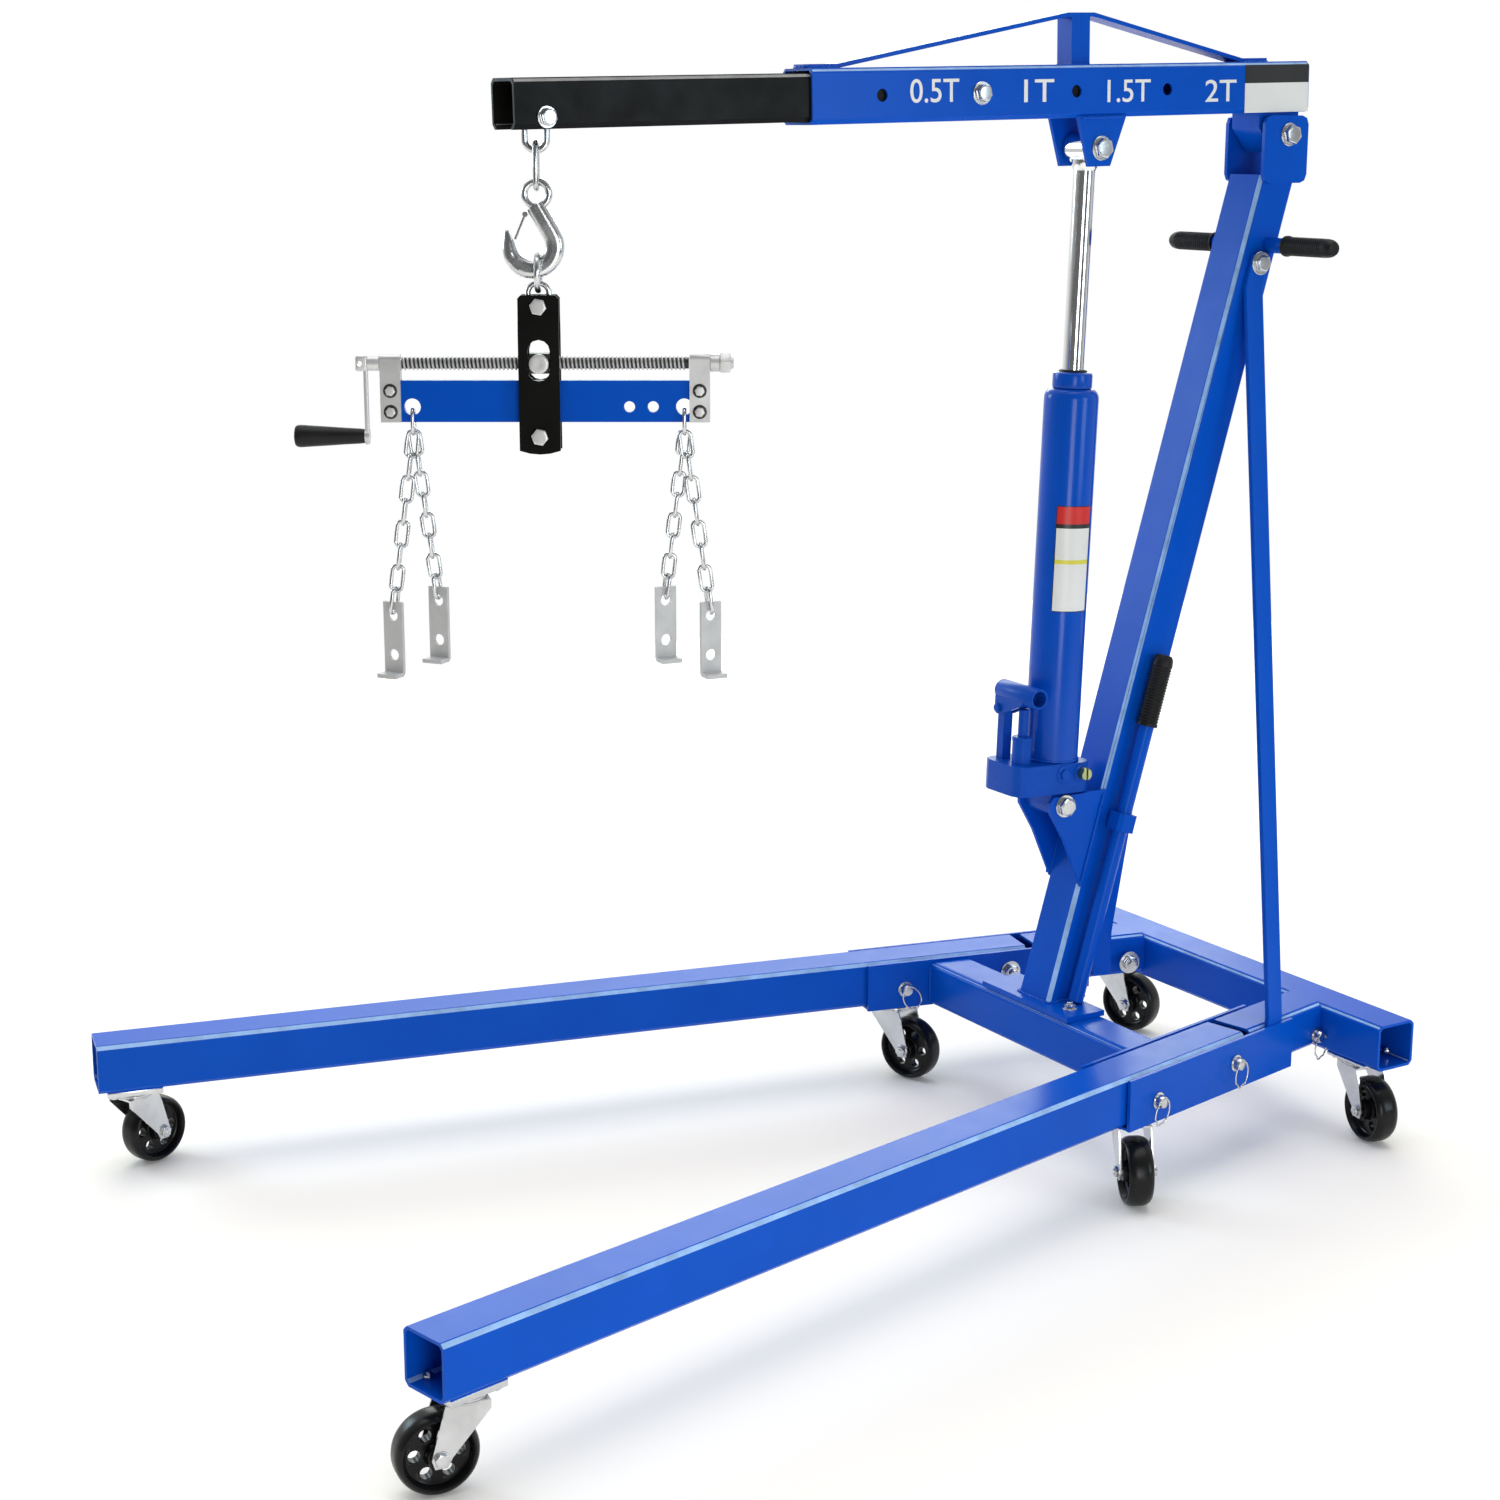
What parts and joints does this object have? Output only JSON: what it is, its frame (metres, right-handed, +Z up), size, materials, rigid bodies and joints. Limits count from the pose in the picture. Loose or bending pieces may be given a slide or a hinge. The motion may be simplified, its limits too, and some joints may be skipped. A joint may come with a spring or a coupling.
{
  "type": "engine hoist crane",
  "caption": "Folding engine hoist on swivel casters: splayed legs, leaning mast, hydraulic ram with hand pump, truss boom with sliding extension, and a crank load leveler hung on the hook",
  "frame": {"origin": "on the floor, at the middle of the hoist's length and width", "axes": "+X forward along the boom, +Y to the hoist's left, +Z up"},
  "size_m": [1.6749, 1.1504, 1.5747],
  "materials": {
    "blue_paint": "gloss royal blue paint",
    "black_paint": "satin black paint",
    "black_rubber": "black rubber and nylon",
    "zinc": "bright zinc plate",
    "chrome": "hard chrome",
    "grey_steel": "plain grey steel",
    "brass": "yellow zinc plate"
  },
  "bodies": {
    "base": {"rear_cross_tube": "blue_paint", "side_channel_left": "blue_paint", "side_channel_right": "blue_paint", "front_cross_tube": "blue_paint", "mast": "blue_paint", "stay_left": "blue_paint", "stay_right": "blue_paint", "push_bar": "blue_paint", "push_grip_left": "black_rubber", "push_grip_right": "black_rubber", "boom_pivot_bolt": "zinc", "ram_anchor_bolt": "zinc", "leg_pivot_left": "zinc", "leg_pivot_right": "zinc"},
    "boom": {"boom": "blue_paint", "ram_head_bolt": "zinc"},
    "extension": {"boom_extension": "black_paint", "hook_bolt": "zinc"},
    "ram": {"ram_cylinder": "blue_paint", "gland_nut": "blue_paint", "pump_block": "blue_paint"},
    "rod": {"ram_rod": "chrome"},
    "lever": {"pump_lever": "blue_paint"},
    "plunger": {"pump_plunger": "chrome"},
    "valve": {"release_valve": "brass"},
    "handle": {"pump_handle": "blue_paint", "pump_handle_grip": "black_rubber"},
    "left_leg": {"leg_left": "blue_paint"},
    "right_leg": {"leg_right": "blue_paint"},
    "upper_link": {"chain_link_upper": "zinc"},
    "lower_link": {"chain_link_lower": "zinc"},
    "hook": {"hook": "zinc"},
    "latch": {"hook_latch": "zinc"},
    "ring": {"load_ring": "zinc"},
    "top_link": {"hanger_link": "zinc"},
    "hanger": {"hanger": "black_paint", "trunnion_nut": "grey_steel"},
    "leveler": {"leveler_bar": "blue_paint", "screw_bracket_front": "zinc", "screw_bracket_rear": "zinc"},
    "screw": {"leveler_screw": "grey_steel"},
    "crank_grip": {"crank_grip": "black_rubber"},
    "rear_chain": {"chain_rear": "zinc"},
    "front_chain": {"chain_front": "zinc"},
    "fork_front_left": {"caster_fork_front_left": "zinc"},
    "wheel_front_left": {"caster_wheel_front_left": "black_rubber"},
    "fork_front_right": {"caster_fork_front_right": "zinc"},
    "wheel_front_right": {"caster_wheel_front_right": "black_rubber"},
    "fork_middle_left": {"caster_fork_middle_left": "zinc"},
    "wheel_middle_left": {"caster_wheel_middle_left": "black_rubber"},
    "fork_middle_right": {"caster_fork_middle_right": "zinc"},
    "wheel_middle_right": {"caster_wheel_middle_right": "black_rubber"},
    "fork_rear_left": {"caster_fork_rear_left": "zinc"},
    "wheel_rear_left": {"caster_wheel_rear_left": "black_rubber"},
    "fork_rear_right": {"caster_fork_rear_right": "zinc"},
    "wheel_rear_right": {"caster_wheel_rear_right": "black_rubber"},
    "bracket_rear_inner": {"load_bracket_rear_inner": "grey_steel"},
    "bracket_rear_outer": {"load_bracket_rear_outer": "grey_steel"},
    "bracket_front_inner": {"load_bracket_front_inner": "grey_steel"},
    "bracket_front_outer": {"load_bracket_front_outer": "grey_steel"}
  },
  "joints": [
    {"name": "boom_lift", "type": "hinge", "parent": "base", "child": "boom", "pos_m": [-0.79555, 0, 1.4149], "axis": [0, -1, 0], "range_deg": [-20, 40]},
    {"name": "extension_reach", "type": "slide", "parent": "boom", "child": "extension", "axis": [0.9998, 0, -0.0219], "range_m": [-0.312, 0.156]},
    {"name": "ram_lean", "type": "hinge", "parent": "base", "child": "ram", "pos_m": [-0.43012, 0, 0.4868], "axis": [0, -1, 0], "range_deg": [-1, 1]},
    {"name": "rod_stroke", "type": "slide", "parent": "ram", "child": "rod", "axis": [-0.0381, 0, 0.9993], "range_m": [-0.115, 0.225]},
    {"name": "lever_stroke", "type": "hinge", "parent": "ram", "child": "lever", "pos_m": [-0.37334, -0.03, 0.62506], "axis": [0.9993, 0, 0.0381], "range_deg": [-18, 18]},
    {"name": "plunger_stroke", "type": "slide", "parent": "ram", "child": "plunger", "axis": [-0.0381, 0, 0.9993], "range_m": [-0.0135, 0.0135]},
    {"name": "valve_turn", "type": "hinge", "parent": "ram", "child": "valve", "pos_m": [-0.45589, 0.04, 0.53285], "axis": [0, 1, 0], "range_deg": [0, 180]},
    {"name": "handle_lift", "type": "slide", "parent": "base", "child": "handle", "axis": [-0.2808, 0, 0.9598], "range_m": [0, 0.2]},
    {"name": "leg_fold_left", "type": "hinge", "parent": "base", "child": "left_leg", "pos_m": [-0.53567, 0.24681, 0.1573], "axis": [0.2139, -0.9769, 0], "range_deg": [0, 90]},
    {"name": "leg_fold_right", "type": "hinge", "parent": "base", "child": "right_leg", "pos_m": [-0.53567, -0.24681, 0.1573], "axis": [-0.2139, -0.9769, 0], "range_deg": [0, 90]},
    {"name": "swivel_front_left", "type": "hinge", "parent": "left_leg", "child": "fork_front_left", "pos_m": [0.75915, 0.53031, 0.1137], "axis": [0, 0, 1], "continuous": true},
    {"name": "roll_front_left", "type": "hinge", "parent": "fork_front_left", "child": "wheel_front_left", "pos_m": [0.79076, 0.5253, 0.0475], "axis": [0.1564, 0.9877, 0], "continuous": true},
    {"name": "swivel_front_right", "type": "hinge", "parent": "right_leg", "child": "fork_front_right", "pos_m": [0.75915, -0.53031, 0.1137], "axis": [0, 0, 1], "continuous": true},
    {"name": "roll_front_right", "type": "hinge", "parent": "fork_front_right", "child": "wheel_front_right", "pos_m": [0.72908, -0.54125, 0.0475], "axis": [0.342, -0.9397, 0], "continuous": true},
    {"name": "swivel_middle_left", "type": "hinge", "parent": "base", "child": "fork_middle_left", "pos_m": [-0.36423, 0.28434, 0.1137], "axis": [0, 0, 1], "continuous": true},
    {"name": "roll_middle_left", "type": "hinge", "parent": "fork_middle_left", "child": "wheel_middle_left", "pos_m": [-0.34971, 0.31285, 0.0475], "axis": [-0.891, 0.454, 0], "continuous": true},
    {"name": "swivel_middle_right", "type": "hinge", "parent": "base", "child": "fork_middle_right", "pos_m": [-0.36423, -0.28434, 0.1137], "axis": [0, 0, 1], "continuous": true},
    {"name": "roll_middle_right", "type": "hinge", "parent": "fork_middle_right", "child": "wheel_middle_right", "pos_m": [-0.37518, -0.25427, 0.0475], "axis": [-0.9397, -0.342, 0], "continuous": true},
    {"name": "swivel_rear_left", "type": "hinge", "parent": "base", "child": "fork_rear_left", "pos_m": [-0.796, 0.278, 0.1137], "axis": [0, 0, 1], "continuous": true},
    {"name": "roll_rear_left", "type": "hinge", "parent": "fork_rear_left", "child": "wheel_rear_left", "pos_m": [-0.78989, 0.30941, 0.0475], "axis": [-0.9816, 0.1908, 0], "continuous": true},
    {"name": "swivel_rear_right", "type": "hinge", "parent": "base", "child": "fork_rear_right", "pos_m": [-0.796, -0.278, 0.1137], "axis": [0, 0, 1], "continuous": true},
    {"name": "roll_rear_right", "type": "hinge", "parent": "fork_rear_right", "child": "wheel_rear_right", "pos_m": [-0.80642, -0.24774, 0.0475], "axis": [-0.9455, -0.3256, 0], "continuous": true},
    {"name": "bolt_swing", "type": "hinge", "parent": "extension", "child": "upper_link", "pos_m": [0.37273, 0, 1.4376], "axis": [0, 1, 0], "range_deg": [-30, 30]},
    {"name": "link_swing", "type": "hinge", "parent": "upper_link", "child": "lower_link", "pos_m": [0.37273, 0, 1.3986], "axis": [0.8517, -0.524, 0], "range_deg": [-25, 25]},
    {"name": "hook_swing", "type": "hinge", "parent": "lower_link", "child": "hook", "pos_m": [0.37273, 0, 1.3534], "axis": [0.524, 0.8517, 0], "range_deg": [-30, 30]},
    {"name": "latch_open", "type": "hinge", "parent": "hook", "child": "latch", "pos_m": [0.38468, -0.00735, 1.32384], "axis": [0.524, 0.8517, 0], "range_deg": [0, 38], "stiffness_Nm_per_rad": 0.05},
    {"name": "ring_swing", "type": "hinge", "parent": "hook", "child": "ring", "pos_m": [0.37273, 0, 1.25888], "axis": [0.8517, -0.524, 0], "range_deg": [-15, 15]},
    {"name": "top_link_swing", "type": "hinge", "parent": "ring", "child": "top_link", "pos_m": [0.37273, 0, 1.23345], "axis": [0.524, 0.8517, 0], "range_deg": [-8, 8]},
    {"name": "hanger_swing", "type": "hinge", "parent": "top_link", "child": "hanger", "pos_m": [0.37273, 0, 1.2141], "axis": [0.524, 0.8517, 0], "range_deg": [-10, 10]},
    {"name": "leveler_travel", "type": "slide", "parent": "hanger", "child": "leveler", "axis": [0.8517, -0.524, 0], "range_m": [-0.09, 0.09]},
    {"name": "crank_turn", "type": "hinge", "parent": "leveler", "child": "screw", "pos_m": [0.5386, -0.10205, 1.1456], "axis": [0.8517, -0.524, 0], "range_deg": [-3960, 3960]},
    {"name": "crank_grip_turn", "type": "hinge", "parent": "screw", "child": "crank_grip", "pos_m": [0.55674, -0.11321, 1.0566], "axis": [0.8517, -0.524, 0], "continuous": true},
    {"name": "chain_swing_rear", "type": "hinge", "parent": "leveler", "child": "rear_chain", "pos_m": [0.22261, 0.09235, 1.0928], "axis": [0.524, 0.8517, 0], "range_deg": [-18, 8]},
    {"name": "bracket_swing_rear_inner", "type": "hinge", "parent": "rear_chain", "child": "bracket_rear_inner", "pos_m": [0.24228, 0.07649, 0.852], "axis": [0.1149, 0.9934, 0], "range_deg": [-40, 40]},
    {"name": "bracket_swing_rear_outer", "type": "hinge", "parent": "rear_chain", "child": "bracket_rear_outer", "pos_m": [0.19783, 0.11136, 0.834], "axis": [0.1149, 0.9934, 0], "range_deg": [-40, 40]},
    {"name": "chain_swing_front", "type": "hinge", "parent": "leveler", "child": "front_chain", "pos_m": [0.50581, -0.08187, 1.0928], "axis": [0.524, 0.8517, 0], "range_deg": [-18, 18]},
    {"name": "bracket_swing_front_inner", "type": "hinge", "parent": "front_chain", "child": "bracket_front_inner", "pos_m": [0.48279, -0.07147, 0.852], "axis": [0.8348, 0.5505, 0], "range_deg": [-40, 40]},
    {"name": "bracket_swing_front_outer", "type": "hinge", "parent": "front_chain", "child": "bracket_front_outer", "pos_m": [0.53395, -0.09543, 0.834], "axis": [0.8348, 0.5505, 0], "range_deg": [-40, 40]}
  ],
  "couplings": [
    {"joint": "ram_lean", "follows": "boom_lift", "ratio": 0.02},
    {"joint": "rod_stroke", "follows": "boom_lift", "m_per_rad": 0.317},
    {"joint": "plunger_stroke", "follows": "lever_stroke", "m_per_rad": 0.042},
    {"joint": "leveler_travel", "follows": "crank_turn", "m_per_rad": 0.0012732}
  ]
}
